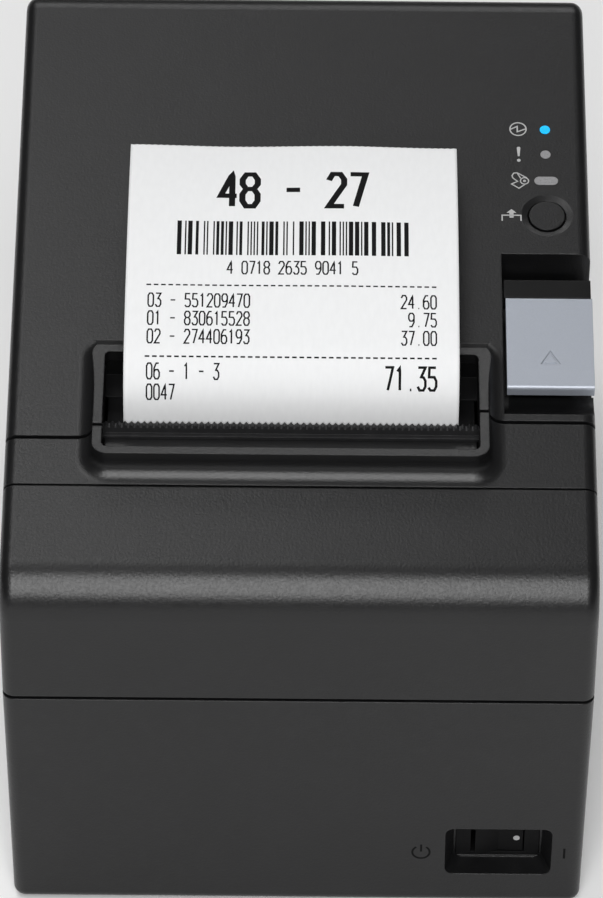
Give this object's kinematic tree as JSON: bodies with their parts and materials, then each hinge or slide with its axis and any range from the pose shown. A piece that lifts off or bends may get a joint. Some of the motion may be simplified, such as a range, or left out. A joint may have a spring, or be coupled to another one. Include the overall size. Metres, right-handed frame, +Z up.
{
  "type": "receipt printer",
  "caption": "Desktop receipt printer with sloped top, raised paper mouth and tear bar, hinged roll cover, release lever, feed button and rear connector bay.",
  "frame": {"origin": "on the standing surface, under the middle of the case", "axes": "+X right seen from the front, +Y to the rear, +Z up"},
  "size_m": [0.14, 0.199, 0.1468],
  "materials": {
    "case_plastic": "fine texture",
    "inner_plastic": "smooth moulded",
    "lever_paint": "silver paint",
    "rubber": "matte",
    "plated_steel": "zinc plated",
    "bright_steel": "ground",
    "dark_steel": "blackened",
    "motor_metal": "satin",
    "aluminium": "extruded",
    "head_ceramic": "smooth",
    "gear_plastic": "moulded",
    "receipt_paper": "thermal coated",
    "core_card": "plain",
    "circuit_board": "solder mask",
    "lamp_lit": "lit",
    "lamp_dark": "diffusing"
  },
  "bodies": {
    "base": {"lower_case": "case_plastic", "upper_case": "case_plastic", "bottom_plate": "inner_plastic", "roll_tray": "inner_plastic", "switch_housing": "inner_plastic", "power_inlet": "inner_plastic", "drawer_socket": "inner_plastic", "cover_sensor": "inner_plastic", "paper_end_sensor": "inner_plastic", "rubber_feet": "rubber", "mechanism_frame": "plated_steel", "interface_plate": "plated_steel", "cutter_base": "plated_steel", "frame_screws": "plated_steel", "usb_socket": "plated_steel", "network_socket": "plated_steel", "tear_bar": "dark_steel", "hinge_pins": "bright_steel", "idler_stud": "bright_steel", "head_spring": "bright_steel", "feed_motor": "motor_metal", "cutter_motor": "motor_metal", "head_heat_sink": "aluminium", "thermal_head": "head_ceramic", "paper_web": "receipt_paper", "main_board": "circuit_board"},
    "cover": {"roll_cover": "case_plastic", "mouth_guide": "inner_plastic", "platen_holder": "inner_plastic", "fixed_blade": "bright_steel", "platen_bushings": "gear_plastic", "panel_board": "circuit_board", "feed_switch": "inner_plastic", "power_lamp": "lamp_lit", "error_lamp": "lamp_dark", "paper_lamp": "lamp_dark", "lever_pin": "dark_steel", "receipt": "receipt_paper"},
    "cutter_cover": {"cutter_cover": "case_plastic"},
    "lever": {"lever_plate": "lever_paint", "lever_arm": "case_plastic"},
    "feed_button": {"feed_button": "case_plastic"},
    "rocker": {"power_rocker": "inner_plastic"},
    "feed_drive": {"motor_shaft": "bright_steel", "motor_pinion": "gear_plastic"},
    "idler": {"idler_gear": "gear_plastic"},
    "platen": {"platen_shaft": "bright_steel", "platen_roller": "rubber", "platen_gear": "gear_plastic"},
    "blade": {"movable_blade": "bright_steel"},
    "cutter_pinion": {"cutter_pinion": "gear_plastic"},
    "cutter_knob": {"cutter_knob": "gear_plastic"},
    "roll": {"paper_roll": "receipt_paper", "paper_core": "core_card"}
  },
  "joints": [
    {"name": "cover_open", "type": "hinge", "parent": "base", "child": "cover", "pos_m": [0, 0.096, 0.0885], "axis": [-1, 0, 0], "range_deg": [0, 95]},
    {"name": "cutter_cover_off", "type": "slide", "parent": "base", "child": "cutter_cover", "axis": [0, -1, 0], "range_m": [0, 0.035]},
    {"name": "lever_lift", "type": "hinge", "parent": "cover", "child": "lever", "pos_m": [0.059, -0.01024, 0.11811], "axis": [-1, 0, 0], "range_deg": [0, 20], "stiffness_Nm_per_rad": 0.05},
    {"name": "feed_press", "type": "slide", "parent": "cover", "child": "feed_button", "axis": [0, 0.2419, -0.9703], "range_m": [0, 0.001], "stiffness_N_per_m": 400},
    {"name": "power_rock", "type": "hinge", "parent": "base", "child": "rocker", "pos_m": [0.0488, -0.0915, 0.0193], "axis": [0, 0, -1], "range_deg": [0, 16]},
    {"name": "platen_turn", "type": "hinge", "parent": "cover", "child": "platen", "pos_m": [-0.00235, -0.0455, 0.09846], "axis": [1, 0, 0], "continuous": true},
    {"name": "idler_turn", "type": "hinge", "parent": "base", "child": "idler", "pos_m": [-0.052, -0.05697, 0.08208], "axis": [1, 0, 0], "continuous": true},
    {"name": "motor_turn", "type": "hinge", "parent": "base", "child": "feed_drive", "pos_m": [-0.052, -0.07276, 0.07633], "axis": [1, 0, 0], "continuous": true},
    {"name": "blade_cut", "type": "slide", "parent": "base", "child": "blade", "axis": [0, 1, 0], "range_m": [0, 0.008]},
    {"name": "cutter_pinion_turn", "type": "hinge", "parent": "base", "child": "cutter_pinion", "pos_m": [-0.022, -0.0635, 0.10046], "axis": [0, 0, 1], "range_deg": [-80, 0]},
    {"name": "cutter_knob_turn", "type": "hinge", "parent": "base", "child": "cutter_knob", "pos_m": [-0.01139, -0.07411, 0.10046], "axis": [0, 0, 1], "range_deg": [0, 55]},
    {"name": "roll_turn", "type": "hinge", "parent": "base", "child": "roll", "pos_m": [-0.00235, 0.028, 0.0643], "axis": [1, 0, 0], "continuous": true}
  ],
  "couplings": [
    {"joint": "idler_turn", "follows": "platen_turn", "ratio": -0.66667},
    {"joint": "motor_turn", "follows": "platen_turn", "ratio": 1.6667},
    {"joint": "cutter_pinion_turn", "follows": "blade_cut", "rad_per_m": -166.67},
    {"joint": "cutter_knob_turn", "follows": "blade_cut", "rad_per_m": 111.11}
  ]
}
